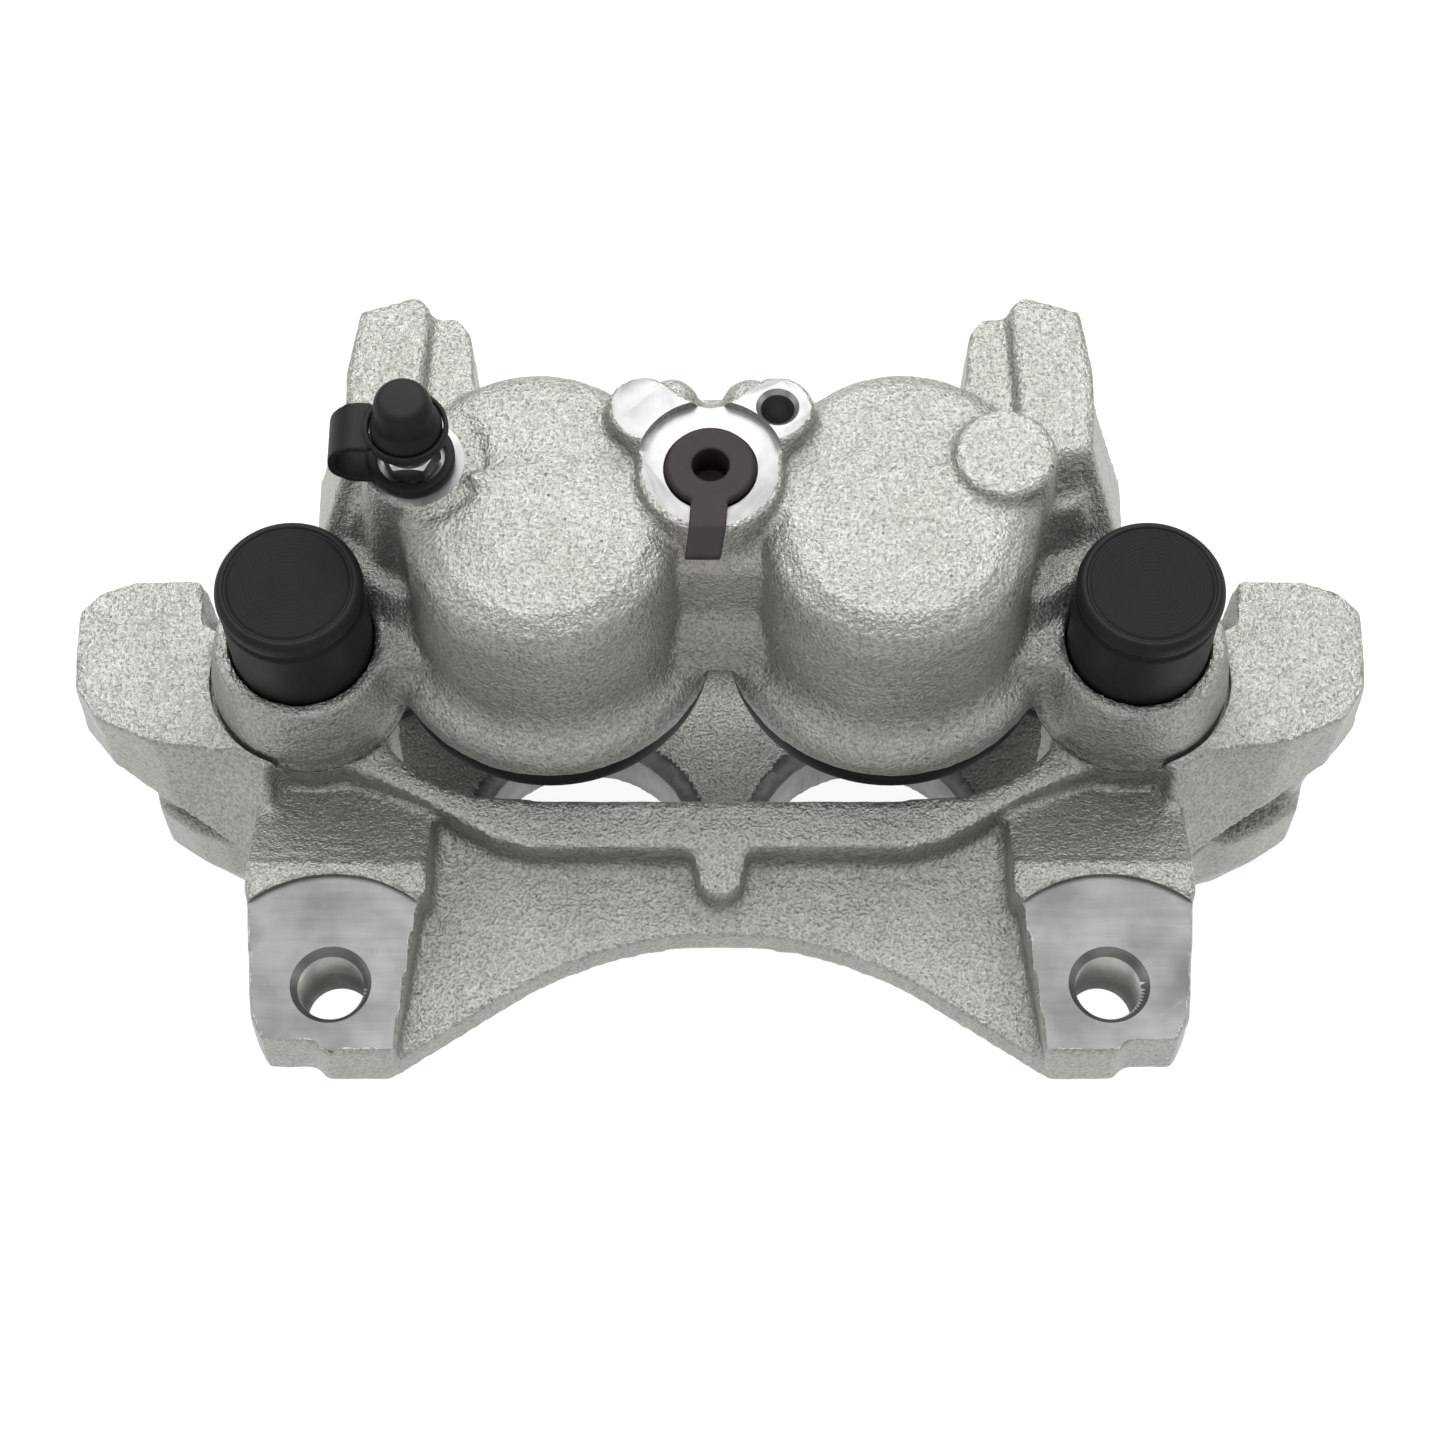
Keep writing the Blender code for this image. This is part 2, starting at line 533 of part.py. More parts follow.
def guide_pins():
    """On each side: a steel sleeve bolted to the bracket, a rubber bushing that slides on it, and a cap."""
    seat = BAND_Z + CLEARANCE
    sleeve_top = 21.0
    head_z = sleeve_top + CLEARANCE
    bushing_top = 33.6
    cap_z = bushing_top + CLEARANCE
    sleeve = [(5.7, seat), (8.4, seat), (8.4, sleeve_top), (5.7, sleeve_top)]
    bolt = [(4.4, -15.5), (5.2, -14.5), (5.2, head_z), (8.2, head_z), (8.4, head_z + 0.6),
            (8.4, head_z + 6.6), (7.6, head_z + 7.6)]
    bushing = [(8.7, -1.2), (13.2, -1.2), (13.4, 0.5), (13.4, bushing_top), (8.7, bushing_top)]
    cap = [(12.9, cap_z), (13.6, cap_z + 0.5), (13.7, cap_z + 2.4), (12.9, cap_z + 3.6), (11.7, cap_z + 3.9),
           (11.2, cap_z + 3.4), (10.6, cap_z + 3.4)]
    for side, sign in SIDES:
        centre = (sign * PIN_X, PIN_Y)
        origin = (*centre, seat)
        socket = prism("socket", hull([(*centre, 4.0)], 6), head_z + 2.6, 35)
        finish(cut(turned("guide_bolt_" + side, bolt, centre, COARSE), [socket]), STEEL, origin)
        finish(ring_body("guide_sleeve_" + side, sleeve, centre), STEEL, origin)
        finish(ring_body("bushing_" + side, bushing, centre), RUBBER, origin)
        finish(turned("pin_cap_" + side, cap, centre), RUBBER, origin)


def finish_on_boss(body, spec):
    """Finish a body modelled about (0, 0, 0), on the face of the bleeder boss."""
    origin = (BLEEDER_X, BLEEDER_Y, BLEEDER_Z)
    return finish(moved(body, *origin), spec, origin)


def bleeder_screw():
    stem = turned("bleeder_screw", [(2.2, -9.6), (4.2, -7.6), (4.2, 1.6)], (0, 0), COARSE)
    hexagon = prism("hex", hull([(0, 0, 5.6)], 6), 1.2, 5.2)
    nipple = turned("nipple", [(3.8, 5.0), (3.3, 8.5), (4.2, 10.0), (3.0, 14.0)], (0, 0), COARSE)
    screw = unite(stem, [hexagon, nipple])
    cut(screw, [cylinder("drilling", (0, 0), 0.9, -6, 20, TINY)])
    finish_on_boss(screw, STEEL)


def bleeder_cap():
    outside = [(6.2, 9.8), (6.6, 10.6), (6.6, 12.8), (5.5, 14.0), (5.4, 18.6), (4.3, 20.6), (2.0, 21.4)]
    cap = turned("bleeder_cap", outside, (0, 0), COARSE)
    cut(cap, [turned("hollow", [(4.7, 2), (4.7, 11.6), (3.6, 15.2)], (0, 0), COARSE)])
    finish_on_boss(cap, RUBBER)


def bleeder_cap_strap():
    """Strap that keeps the bleeder cap: a flat ring on the boss and a loop out to the cap."""
    ring = ring_body("bleeder_cap_strap", [(6.2, 0.4), (8.0, 0.4), (8.0, 2.4), (6.2, 2.4)], (0, 0))
    # centre line of the loop: (distance out from the screw's axis, height above the boss)
    path = [(7.4, 1.4), (10.0, 1.6), (12.2, 3.0), (13.4, 5.6), (13.3, 8.8), (11.9, 11.2), (9.6, 12.0),
            (6.9, 11.8)]
    half_width = 4.2
    half_thickness = 0.8
    corners = ((-1, -half_width), (-1, half_width), (1, half_width), (1, -half_width))
    sections = []
    for index, (out, height) in enumerate(path):
        before = path[max(index - 1, 0)]
        after = path[min(index + 1, len(path) - 1)]
        slope = math.atan2(after[1] - before[1], after[0] - before[0])
        offset = (-math.sin(slope) * half_thickness, math.cos(slope) * half_thickness)
        sections.append([(-(out + face * offset[0]), across, height + face * offset[1])
                         for face, across in corners])
    body = unite(ring, [loft("band", sections)])
    cut(body, [cylinder("cap_space", (0, 0), 7.0, 4, 20, COARSE)])
    finish_on_boss(body, RUBBER)


def port_plug():
    """Transit plug in the port, with its pull tab, which bends down over the edge of the boss."""
    flange = [(7.6, -1.0), (8.2, -0.2), (8.2, 0.9), (7.7, 1.4)]
    stem = [(3.8, -8), (4.2, -7), (4.2, -0.8)]
    thickness = 1.1
    tab = []
    for low_x, high_x, y, low_z in ((-3.3, 3.3, -4, 0.2), (-3.9, 2.8, -13, 0.6), (-4.6, 1.8, -18.4, -1.2)):
        high_z = low_z + thickness
        tab.append([(low_x, y, low_z), (low_x, y, high_z), (high_x, y, high_z), (high_x, y, low_z)])
    body = turned("port_plug", flange, (0, 0))
    unite(body, [turned("stem", stem, (0, 0), COARSE), loft("tab", tab)])
    cut(body, [cylinder("hollow", (0, 0), 3.4, -6, 5, COARSE)])
    origin = (PORT_X, PORT_Y, PORT_Z)
    finish(moved(body, *origin), PLASTIC, origin)


def main():
    clear_scene()
    bracket()
    housing()
    pistons()
    piston_rubbers()
    guide_pins()
    bleeder_screw()
    bleeder_cap()
    bleeder_cap_strap()
    port_plug()


main()
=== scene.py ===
"""Looks of a floating disc-brake caliper on its carrier bracket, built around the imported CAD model."""
import math

import bmesh
import bpy
import numpy as np
from mathutils import Matrix, Vector


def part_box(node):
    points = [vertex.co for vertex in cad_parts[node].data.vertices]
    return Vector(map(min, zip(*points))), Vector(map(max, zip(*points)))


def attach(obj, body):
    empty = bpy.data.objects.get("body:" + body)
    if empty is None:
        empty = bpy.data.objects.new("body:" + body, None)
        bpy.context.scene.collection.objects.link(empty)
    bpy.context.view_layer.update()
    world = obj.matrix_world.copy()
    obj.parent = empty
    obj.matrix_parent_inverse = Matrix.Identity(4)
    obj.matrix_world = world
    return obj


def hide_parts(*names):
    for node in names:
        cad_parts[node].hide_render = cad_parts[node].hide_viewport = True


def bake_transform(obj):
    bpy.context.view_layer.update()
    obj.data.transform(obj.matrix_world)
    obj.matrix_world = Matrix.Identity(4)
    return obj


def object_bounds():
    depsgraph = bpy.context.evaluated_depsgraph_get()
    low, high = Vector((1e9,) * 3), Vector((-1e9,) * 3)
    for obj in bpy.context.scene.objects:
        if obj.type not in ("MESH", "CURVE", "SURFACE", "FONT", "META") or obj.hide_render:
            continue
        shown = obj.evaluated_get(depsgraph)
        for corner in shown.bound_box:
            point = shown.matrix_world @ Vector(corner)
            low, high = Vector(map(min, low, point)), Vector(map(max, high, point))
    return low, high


MM = 0.001
SIDES = (("left", -1.0), ("right", 1.0))

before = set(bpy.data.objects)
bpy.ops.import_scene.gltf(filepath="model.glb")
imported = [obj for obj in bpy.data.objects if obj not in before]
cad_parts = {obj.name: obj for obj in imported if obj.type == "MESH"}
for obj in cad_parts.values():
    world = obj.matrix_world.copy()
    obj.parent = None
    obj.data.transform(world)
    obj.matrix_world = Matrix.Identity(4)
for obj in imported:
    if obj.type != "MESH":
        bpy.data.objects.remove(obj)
cad_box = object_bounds()


# ---------------------------------------------------------------- places, in millimetres, from the CAD

def middle(node):
    """Centre of a CAD node's box in X and Y, and its lowest and highest Z, in millimetres."""
    low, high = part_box(node)
    return ((low.x + high.x) / 2 / MM, (low.y + high.y) / 2 / MM), low.z / MM, high.z / MM


LUG_X = 71.5                  # threaded mounting holes, in Y = 0
THREAD_R = 6.0
THREAD_ROOT_R = 6.95
THREAD_PITCH = 2.0
LUG_FACE_Z = -0.12            # machined a touch below the CAD's own face, for a crisp edge
LUG_CHAMFER_LOW_Z = LUG_FACE_Z - 1.7
LUG_CHAMFER_R = 7.5
SPOT_FACE = (72.0, -3.8)      # axis of the round cutter that faced each lug
SPOT_FACE_R = 25.5
PAD_SLIDE_X = 66.15           # flats that the brake pads slide between
PAD_SLIDE_Y = 54.3
BOLT_HOLE_R = 5.5

PIN = {side: middle("pin_cap_" + side)[0] for side, _ in SIDES}
PISTON = {side: middle("piston_" + side)[0] for side, _ in SIDES}
BLEEDER = middle("bleeder_screw")[0]
BOSS_Z = 45.9                 # top of the bleeder's boss
PORT = (-1.7, 80.0)           # threaded hole for the brake hose
PORT_Z = 49.9
PORT_FACE_R = 13.5
PORT_R = 4.6
PAD_Z = 52.0                  # two small pads behind the port, the right one with a blind hole
PAD_TOP_Z = PAD_Z - 0.25
PADS = ((PORT[0] - 12.2, 92.0), (PORT[0] + 12.2, 92.0))
PAD_HOLE_R = 3.1
PAD_CHAMFER_R = 4.1
TWIN = (51.9, 83.8)           # blank boss, the mirror of the bleeder's
TWIN_Z = 49.6
DOME_Z = 47.3                 # crown of the cylinders
CLEAR_Z = 60.0                # above everything on the housing
MOUTH_Z = 5.0                 # open end of the cylinders
BAND_Z = -2.0                 # top of the bracket's pin bosses
EAR_FOOT_Z = -1.65            # underside of the housing's ears, just above them
EAR_R = 19.0
BUSHING_HOLE_R = 13.75
BORE_R = 21.7
SEAL_GROOVE_R = 24.6
BOOT_SEAT_R = 27.6
BOOT_SEAT_Z = 8.2
PISTON_R = 21.35
FINGER_Z = -69.9              # inner face of the fingers, and their outer face
FINGER_LOW_Z = -87.0
WHEEL_Y = -57.7               # axis of the wheel
BRIDGE_R = 163.6
RELIEF_X = 29.8               # round reliefs between the fingers, shifted a little to the right
RELIEF_SHIFT = 1.0
RELIEF_Y = 60.0
RELIEF_R = 23.1
RELIEF_CHAMFER = 3.3

ROUND = 96                    # sides of a turned piece
CAST_VOXEL = 0.9
CAST_ROUNDS = 5
LEVEL = 0.999                 # normal Z above which a face counts as level
UPWARD = 0.2                  # normal Z above which a thread's flank faces up
ON_PLANE = 0.02               # a face this near to a plane lies in it


# ---------------------------------------------------------------- mesh helpers

def new_object(name, mesh):
    piece = bpy.data.objects.new(name, mesh)
    bpy.context.scene.collection.objects.link(piece)
    return piece


def loft(name, rings, closed=False):
    """Body through rings of points (mm), capped at both ends, or closed into a ring."""
    shape = bmesh.new()
    rows = [[shape.verts.new(Vector(point) * MM) for point in ring] for ring in rings]
    pairs = list(zip(rows, rows[1:]))
    if closed:
        pairs.append((rows[-1], rows[0]))
    for low, high in pairs:
        for index in range(len(low)):
            after = (index + 1) % len(low)
            shape.faces.new((low[index], low[after], high[after], high[index]))
    if not closed:
        shape.faces.new(rows[0])
        shape.faces.new(rows[-1])
    shape.normal_update()
    bmesh.ops.recalc_face_normals(shape, faces=shape.faces)
    mesh = bpy.data.meshes.new(name)
    shape.to_mesh(mesh)
    shape.free()
    return new_object(name, mesh)


def prism(name, outline, low_z, high_z, high_outline=None):
    top = high_outline or outline
    return loft(name, [[(x, y, low_z) for x, y in outline], [(x, y, high_z) for x, y in top]])


def circle(centre, radius, z, sides=ROUND):
    return [(centre[0] + radius * math.cos(2 * math.pi * step / sides),
             centre[1] + radius * math.sin(2 * math.pi * step / sides), z) for step in range(sides)]


def turned(name, profile, centre, sides=ROUND):
    """Solid of revolution about +Z through (radius, z) points, with flat ends."""
    return loft(name, [circle(centre, radius, z, sides) for radius, z in profile])


def ring_body(name, profile, centre, sides=ROUND):
    """Ring about +Z whose cross-section is the closed outline of (radius, z) points."""
    rings = [[(centre[0] + radius * math.cos(2 * math.pi * step / sides),
               centre[1] + radius * math.sin(2 * math.pi * step / sides), z) for radius, z in profile]
             for step in range(sides)]
    return loft(name, rings, closed=True)


def rounded(points, reach, steps=4, closed=False):
    """The same outline with its corners turned into small curves."""
    result = []
    count = len(points)
    for index, point in enumerate(points):
        if not closed and index in (0, count - 1):
            result.append(point)
            continue
        here = Vector(point)
        before = Vector(points[index - 1])
        after = Vector(points[(index + 1) % count])
        start = here + (before - here).normalized() * min(reach, (before - here).length / 2)
        end = here + (after - here).normalized() * min(reach, (after - here).length / 2)
        for step in range(steps + 1):
            t = step / steps
            result.append(tuple(start * (1 - t) ** 2 + here * 2 * t * (1 - t) + end * t ** 2))
    return result


def hull(circles, sides=48):
    """Outline around circles (x, y, radius)."""
    points = []
    for step in range(sides):
        angle = 2 * math.pi * step / sides
        along = (math.cos(angle), math.sin(angle))
        x, y, radius = max(circles, key=lambda c: c[0] * along[0] + c[1] * along[1] + c[2])
        points.append((x + radius * along[0], y + radius * along[1]))
    return points


def relief_centre(sign):
    """Axis of the round relief in the finger plate, on the side of that sign."""
    return (sign * RELIEF_X + RELIEF_SHIFT, RELIEF_Y)


def settle(piece):
    """Apply the piece's modifiers."""
    bpy.context.view_layer.update()
    graph = bpy.context.evaluated_depsgraph_get()
    mesh = bpy.data.meshes.new_from_object(piece.evaluated_get(graph))
    old = piece.data
    piece.modifiers.clear()
    piece.data = mesh
    bpy.data.meshes.remove(old)


def combine(piece, others, operation):
    """Join others to the piece, or cut them from it, and remove them."""
    for other in others:
        step = piece.modifiers.new(operation.lower(), "BOOLEAN")
        step.operation = operation
        step.solver = "MANIFOLD"
        step.object = other
    settle(piece)
    for other in others:
        bpy.data.objects.remove(other)


def unite(piece, others):
    combine(piece, others, "UNION")


def cut(piece, others):
    combine(piece, others, "DIFFERENCE")


def cad_copy(name, node):
    """Closed copy of a CAD node's mesh, free to be worked on."""
    shape = bmesh.new()
    shape.from_mesh(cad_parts[node].data)
    bmesh.ops.remove_doubles(shape, verts=shape.verts, dist=0.002 * MM)
    mesh = bpy.data.meshes.new(name)
    shape.to_mesh(mesh)
    shape.free()
    return new_object(name, mesh)


def soften(piece, voxel, rounds):
    """Turn sharp modelling into one skin with fillets, as a casting or a moulding has."""
    remesh = piece.modifiers.new("skin", "REMESH")
    remesh.mode = "VOXEL"
    remesh.voxel_size = voxel * MM
    smooth = piece.modifiers.new("fillets", "SMOOTH")
    smooth.factor = 0.5
    smooth.iterations = rounds
    settle(piece)


def roughen(piece, size, height):
    """Uneven casting skin: shallow waves of the given size."""
    texture = bpy.data.textures.new(piece.name + "_waves", "CLOUDS")
    texture.noise_scale = size * MM
    texture.noise_depth = 1
    waves = piece.modifiers.new("waves", "DISPLACE")
    waves.texture = texture
    waves.texture_coords = "GLOBAL"
    waves.strength = height * MM
    waves.mid_level = 0.5
    settle(piece)


def shade(piece, degrees=35.0):
    """Smooth shading, with edges sharper than the angle left crisp."""
    piece.data.shade_smooth()
    piece.data.set_sharp_from_angle(angle=math.radians(degrees))
    return piece


def dress(piece, *materials):
    """Give the piece its materials, and the first of them to every face."""
    piece.data.materials.clear()
    for material in materials:
        piece.data.materials.append(material)
    piece.data.polygons.foreach_set("material_index", np.zeros(len(piece.data.polygons), np.int32))


def face_data(piece):
    """Centres (mm) and normals of the faces."""
    count = len(piece.data.polygons)
    centres = np.zeros(count * 3)
    normals = np.zeros(count * 3)
    piece.data.polygons.foreach_get("center", centres)
    piece.data.polygons.foreach_get("normal", normals)
    return centres.reshape(-1, 3) / MM, normals.reshape(-1, 3)


def paint(piece, material, chosen):
    """Give the chosen faces one of the materials that the piece is dressed in."""
    indices = np.zeros(len(piece.data.polygons), np.int32)
    piece.data.polygons.foreach_get("material_index", indices)
    indices[chosen] = piece.data.materials.find(material.name)
    piece.data.polygons.foreach_set("material_index", indices)


def near_axis(centres, axis, radius):
    return np.hypot(centres[:, 0] - axis[0], centres[:, 1] - axis[1]) < radius


def on_plane(coordinates, plane):
    return np.abs(coordinates - plane) < ON_PLANE


def place(piece, body, slot, *nodes):
    """Ride on a body and stand for CAD nodes; slot is not used."""
    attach(piece, body)
    if nodes:
        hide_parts(*nodes)


# ---------------------------------------------------------------- materials

class Nodes:
    """Short way to write a material's node tree."""

    def __init__(self, name, roughness, metallic):
        self.material = bpy.data.materials.new(name)
        self.material.use_nodes = True
        self.tree = self.material.node_tree
        self.shader = self.tree.nodes["Principled BSDF"]
        self.shader.inputs["Roughness"].default_value = roughness
        self.shader.inputs["Metallic"].default_value = metallic
        self.where = self.tree.nodes.new("ShaderNodeTexCoord").outputs["Object"]

    def link(self, output, target):
        self.tree.links.new(output, target)

    def noise(self, scale, detail=2.0, roughness=0.5, where=None):
        node = self.tree.nodes.new("ShaderNodeTexNoise")
        node.inputs["Scale"].default_value = scale
        node.inputs["Detail"].default_value = detail
        node.inputs["Roughness"].default_value = roughness
        self.link(where or self.where, node.inputs["Vector"])
        return node.outputs["Fac"]

    def stretched(self, scale):
        node = self.tree.nodes.new("ShaderNodeMapping")
        node.inputs["Scale"].default_value = scale
        self.link(self.where, node.inputs["Vector"])
        return node.outputs["Vector"]

    def ramp(self, value, stops):
        """Colours between stops of (position, colour)."""
        node = self.tree.nodes.new("ShaderNodeValToRGB")
        elements = node.color_ramp.elements
        while len(elements) < len(stops):
            elements.new(0.5)
        for element, (position, colour) in zip(elements, stops):
            element.position = position
            element.color = (*colour, 1.0)
        self.link(value, node.inputs["Fac"])
        return node.outputs["Color"]

    def mix(self, kind, factor, first, second):
        node = self.tree.nodes.new("ShaderNodeMix")
        node.data_type = "RGBA"
        node.blend_type = kind
        if isinstance(factor, float):
            node.inputs["Factor"].default_value = factor
        else:
            self.link(factor, node.inputs["Factor"])
        for value, socket in ((first, node.inputs[6]), (second, node.inputs[7])):
            if isinstance(value, tuple):
                socket.default_value = (*value, 1.0)
            else:
                self.link(value, socket)
        return node.outputs[2]

    def math(self, operation, first, second):
        node = self.tree.nodes.new("ShaderNodeMath")
        node.operation = operation
        for value, socket in ((first, node.inputs[0]), (second, node.inputs[1])):
            if isinstance(value, float):
                socket.default_value = value
            else:
                self.link(value, socket)
        return node.outputs["Value"]

    def range(self, value, low, high):
        node = self.tree.nodes.new("ShaderNodeMapRange")
        self.link(value, node.inputs["Value"])
        node.inputs["To Min"].default_value = low
        node.inputs["To Max"].default_value = high
        return node.outputs["Result"]

    def bump(self, height, distance, strength=1.0):
        node = self.tree.nodes.new("ShaderNodeBump")
        node.inputs["Distance"].default_value = distance * MM
        node.inputs["Strength"].default_value = strength
        self.link(height, node.inputs["Height"])
        self.link(node.outputs["Normal"], self.shader.inputs["Normal"])

    def radius(self, centre):
        """Distance in metres from a vertical axis."""
        node = self.tree.nodes.new("ShaderNodeVectorMath")
        node.operation = "SUBTRACT"
        self.link(self.where, node.inputs[0])
        node.inputs[1].default_value = (centre[0] * MM, centre[1] * MM, 0)
        flat = self.tree.nodes.new("ShaderNodeVectorMath")
        flat.operation = "MULTIPLY"
        self.link(node.outputs["Vector"], flat.inputs[0])
        flat.inputs[1].default_value = (1, 1, 0)
        size = self.tree.nodes.new("ShaderNodeVectorMath")
        size.operation = "LENGTH"
        self.link(flat.outputs["Vector"], size.inputs[0])
        return size.outputs["Value"]


def cast_metal():
    """Zinc-coated rough iron: pale grey, grainy as orange peel, with dark specks."""
    nodes = Nodes("cast_metal", 0.42, 0.8)
    grain = nodes.noise(1500, 2.5, 0.6)
    tint = nodes.noise(70, 2.0)
    base = nodes.ramp(tint, [(0.35, (0.322, 0.322, 0.300)), (0.65, (0.356, 0.350, 0.332))])
    pits = nodes.ramp(grain, [(0.28, (0.58, 0.575, 0.56)), (0.5, (0.96, 0.96, 0.95)),
                              (0.72, (1.30, 1.30, 1.30))])
    colour = nodes.mix("MULTIPLY", 1.0, base, pits)
    specks = nodes.ramp(nodes.noise(640, 1.0), [(0.775, (0.0, 0.0, 0.0)), (0.80, (1.0, 1.0, 1.0))])
    colour = nodes.mix("MIX", specks, colour, (0.10, 0.095, 0.09))
    nodes.link(colour, nodes.shader.inputs["Base Color"])
    nodes.link(nodes.range(grain, 0.28, 0.50), nodes.shader.inputs["Roughness"])
    broad = nodes.noise(420, 2.0)
    nodes.bump(nodes.math("ADD", grain, broad), 0.5, 1.0)
    return nodes.material


def machined_metal(name, colour, stretch):
    """Milled and zinc-coated face: fine parallel tool marks under a cloudy tarnish."""
    nodes = Nodes(name, 0.36, 0.85)
    marks = nodes.noise(60, 3.0, 0.6, nodes.stretched(stretch))
    tone = nodes.ramp(marks, [(0.3, tuple(0.86 * part for part in colour)), (0.7, colour)])
    tarnish = nodes.noise(75, 3.0)
    cloud = nodes.ramp(tarnish, [(0.36, (0.74, 0.74, 0.74)), (0.62, (1.18, 1.18, 1.17))])
    nodes.link(nodes.mix("MULTIPLY", 1.0, tone, cloud), nodes.shader.inputs["Base Color"])
    nodes.link(nodes.range(marks, 0.28, 0.46), nodes.shader.inputs["Roughness"])
    nodes.bump(marks, 0.03, 0.6)
    return nodes.material


def plated_steel():
    """Bolts, sleeves and the bleeder screw: bright plating, a little blotchy."""
    nodes = Nodes("plated_steel", 0.3, 1.0)
    mottle = nodes.noise(300, 3.0)
    nodes.link(nodes.ramp(mottle, [(0.3, (0.58, 0.585, 0.59)), (0.7, (0.72, 0.72, 0.71))]),
               nodes.shader.inputs["Base Color"])
    nodes.link(nodes.range(mottle, 0.2, 0.4), nodes.shader.inputs["Roughness"])
    nodes.bump(nodes.noise(1400, 1.0), 0.02, 0.5)
    return nodes.material


def ground_chrome():
    """Pistons: fine rings left by grinding."""
    nodes = Nodes("ground_chrome", 0.16, 1.0)
    rings = nodes.noise(90, 2.0, 0.5, nodes.stretched((1, 1, 60)))
    nodes.link(nodes.ramp(rings, [(0.3, (0.62, 0.62, 0.64)), (0.7, (0.76, 0.76, 0.78))]),
               nodes.shader.inputs["Base Color"])
    nodes.link(nodes.range(rings, 0.1, 0.26), nodes.shader.inputs["Roughness"])
    nodes.bump(rings, 0.01, 0.4)
    return nodes.material


def black_rubber(name="black_rubber", colour=(0.013, 0.0105, 0.0112)):
    """Dull black rubber or plastic with a faint mottle."""
    nodes = Nodes(name, 0.5, 0.0)
    nodes.shader.inputs["Specular IOR Level"].default_value = 0.14
    mottle = nodes.noise(220, 3.0)
    nodes.link(nodes.ramp(mottle, [(0.3, tuple(0.75 * part for part in colour)), (0.7, colour)]),
               nodes.shader.inputs["Base Color"])
    nodes.link(nodes.range(mottle, 0.42, 0.60), nodes.shader.inputs["Roughness"])
    nodes.bump(nodes.noise(1800, 2.0), 0.03, 0.5)
    return nodes.material


def turned_rubber(side):
    """Top of a pin cap: concentric rings from the mould's turning."""
    nodes = Nodes("turned_rubber_" + side, 0.5, 0.0)
    nodes.shader.inputs["Specular IOR Level"].default_value = 0.09
    ring_spacing = 0.75 * MM
    turns = nodes.math("MULTIPLY", nodes.radius(PIN[side]), 2 * math.pi / ring_spacing)
    wave = nodes.math("SINE", turns, 0.0)
    uneven = nodes.noise(250, 3.0)
    rings = nodes.math("MULTIPLY", wave, uneven)
    nodes.link(nodes.ramp(uneven, [(0.3, (0.006, 0.005, 0.0053)), (0.7, (0.011, 0.009, 0.0095))]),
               nodes.shader.inputs["Base Color"])
    nodes.link(nodes.range(uneven, 0.40, 0.62), nodes.shader.inputs["Roughness"])
    nodes.bump(rings, 0.03, 0.7)
    return nodes.material


CAST = cast_metal()
LUG_METAL = machined_metal("lug_face_metal", (0.162, 0.163, 0.162), (1.0, 14.0, 1.0))
PALE_METAL = machined_metal("port_face_metal", (0.31, 0.312, 0.31), (12.0, 1.5, 1.0))
MILLED = machined_metal("finger_face_metal", (0.20, 0.20, 0.193), (1.0, 16.0, 1.0))
# The thread's two colours are painted light and shade: a dark copy for flanks facing down, a pale copy for
# flanks facing up.
THREAD_SHADE_METAL = machined_metal("thread_painted_shade_metal", (0.11, 0.105, 0.10), (4.0, 4.0, 4.0))
THREAD_HIGHLIGHT_METAL = machined_metal("thread_painted_highlight_metal", (0.70, 0.69, 0.66), (4.0, 4.0, 4.0))
STEEL = plated_steel()
CHROME = ground_chrome()
RUBBER = black_rubber()
PLASTIC = black_rubber("black_plastic", (0.032, 0.024, 0.027))


# ---------------------------------------------------------------- cast bodies

def cast_skin(piece):
    soften(piece, CAST_VOXEL, CAST_ROUNDS)
    roughen(piece, 3.2, 0.22)


def thread_cutter(name, centre, low_z, high_z, sides=60):
    """Helical V-thread as a solid: each row climbs half a pitch between crest and root."""
    half = THREAD_PITCH / 2
    rows = int((high_z - low_z) / half) + 1
    shape = bmesh.new()
    grid = []
    for step in range(sides):
        angle = 2 * math.pi * step / sides
        lead = THREAD_PITCH * step / sides
        column = []
        for row in range(rows + 2):
            radius = THREAD_ROOT_R if row % 2 else THREAD_R
            column.append(shape.verts.new(Vector((centre[0] + radius * math.cos(angle),
                                                  centre[1] + radius * math.sin(angle),
                                                  low_z + row * half + lead)) * MM))
        grid.append(column)
    for step in range(sides):
        last = step == sides - 1
        here = grid[step]
        following = grid[0][2:] if last else grid[step + 1]
        for row in range(min(len(here), len(following)) - 1):
            shape.faces.new((here[row], following[row], following[row + 1], here[row + 1]))
    shape.faces.new([column[0] for column in grid] + [grid[0][2], grid[0][1]])
    shape.faces.new([column[-1] for column in grid[:-1]] + [grid[-1][-1], grid[-1][-2], grid[-1][-3]])
    shape.normal_update()
    bmesh.ops.triangulate(shape, faces=shape.faces)
    bmesh.ops.recalc_face_normals(shape, faces=shape.faces)
    mesh = bpy.data.meshes.new(name)
    shape.to_mesh(mesh)
    shape.free()
    return new_object(name, mesh)


